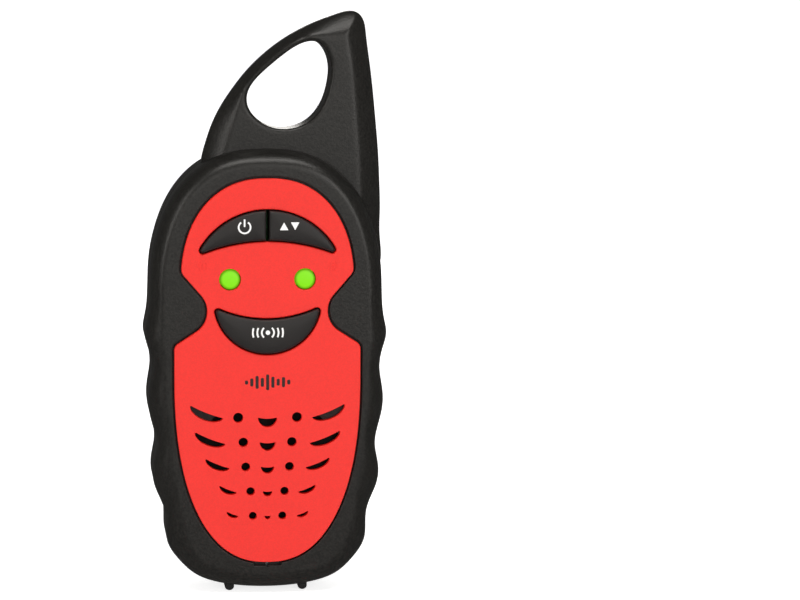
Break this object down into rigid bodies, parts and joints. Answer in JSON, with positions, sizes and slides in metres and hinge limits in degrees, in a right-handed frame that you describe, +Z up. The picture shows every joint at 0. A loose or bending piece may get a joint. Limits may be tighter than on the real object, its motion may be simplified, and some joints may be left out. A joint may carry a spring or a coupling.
{
  "type": "toy walkie talkie",
  "caption": "Hand-held toy two-way radio: two-shell case with a looped antenna fin, smiling face plate, sprung keys, lamps, battery bay and sprung belt clip.",
  "frame": {"origin": "on the ground under the middle of the handset's box, where its feet stand", "axes": "+Z up the handset to the antenna's tip, the face looks along -Y, +X to the right-hand side as seen from the front"},
  "size_m": [0.0596, 0.0342, 0.1435],
  "materials": {
    "casing": "satin, fine grain",
    "face": "satin, fine grain",
    "keys": "satin",
    "lamp": "tinted lens, lit",
    "rubber": "matt",
    "board": "solder mask",
    "chip": "moulded",
    "switch": "moulded",
    "steel": "plated",
    "brass": "plain",
    "copper": "enamelled",
    "cone": "doped paper",
    "cloth": "woven",
    "cell": "printed sleeve",
    "red_wire": "insulation",
    "black_wire": "insulation",
    "white_wire": "insulation"
  },
  "bodies": {
    "case": {"front_shell": "casing", "face_plate": "face", "front_left_foot": "rubber", "front_right_foot": "rubber", "power_switch": "switch", "channel_switch": "switch", "talk_switch": "switch", "main_board": "board", "radio_chip": "chip", "radio_shield": "steel", "microphone": "steel", "left_lamp": "lamp", "right_lamp": "lamp", "speaker_cloth": "cloth", "speaker_frame": "steel", "speaker_cone": "cone", "speaker_magnet": "steel", "antenna_coil": "copper", "speaker_positive_wire": "red_wire", "speaker_negative_wire": "black_wire", "battery_positive_wire": "red_wire", "battery_negative_wire": "black_wire", "antenna_wire": "white_wire", "board_left_screw": "steel", "board_right_screw": "steel", "board_lower_screw": "steel", "rear_shell": "casing", "rear_left_foot": "rubber", "rear_right_foot": "rubber", "top_left_case_screw": "steel", "top_right_case_screw": "steel", "middle_left_case_screw": "steel", "middle_right_case_screw": "steel", "bottom_left_case_screw": "steel", "bottom_right_case_screw": "steel", "left_cell": "cell", "middle_cell": "cell", "right_cell": "cell", "left_cell_spring": "steel", "middle_cell_spring": "steel", "right_cell_spring": "steel", "lower_contact_bridge": "brass", "lower_contact": "brass", "upper_contact": "brass", "upper_contact_bridge": "brass", "clip_pin": "steel", "clip_spring": "steel"},
    "power_key": {"power_key": "keys", "power_switch_plunger": "switch"},
    "channel_key": {"channel_key": "keys", "channel_switch_plunger": "switch"},
    "talk_key": {"talk_key": "keys", "talk_switch_plunger": "switch"},
    "belt_clip": {"belt_clip": "casing"},
    "battery_cover": {"battery_cover": "casing", "cover_screw": "steel"}
  },
  "joints": [
    {"name": "power_key_press", "type": "slide", "parent": "case", "child": "power_key", "axis": [0, 1, 0], "range_m": [0, 0.0005], "stiffness_N_per_m": 2000},
    {"name": "channel_key_press", "type": "slide", "parent": "case", "child": "channel_key", "axis": [0, 1, 0], "range_m": [0, 0.0005], "stiffness_N_per_m": 2000},
    {"name": "talk_key_press", "type": "slide", "parent": "case", "child": "talk_key", "axis": [0, 1, 0], "range_m": [0, 0.0005], "stiffness_N_per_m": 2000},
    {"name": "belt_clip_hinge", "type": "hinge", "parent": "case", "child": "belt_clip", "pos_m": [0, 0.01335, 0.0971], "axis": [1, 0, 0], "range_deg": [0, 18], "stiffness_Nm_per_rad": 0.3, "springref_deg": -8.59},
    {"name": "battery_cover_lift_off", "type": "slide", "parent": "case", "child": "battery_cover", "axis": [0, 1, 0], "range_m": [0, 0.02]}
  ]
}
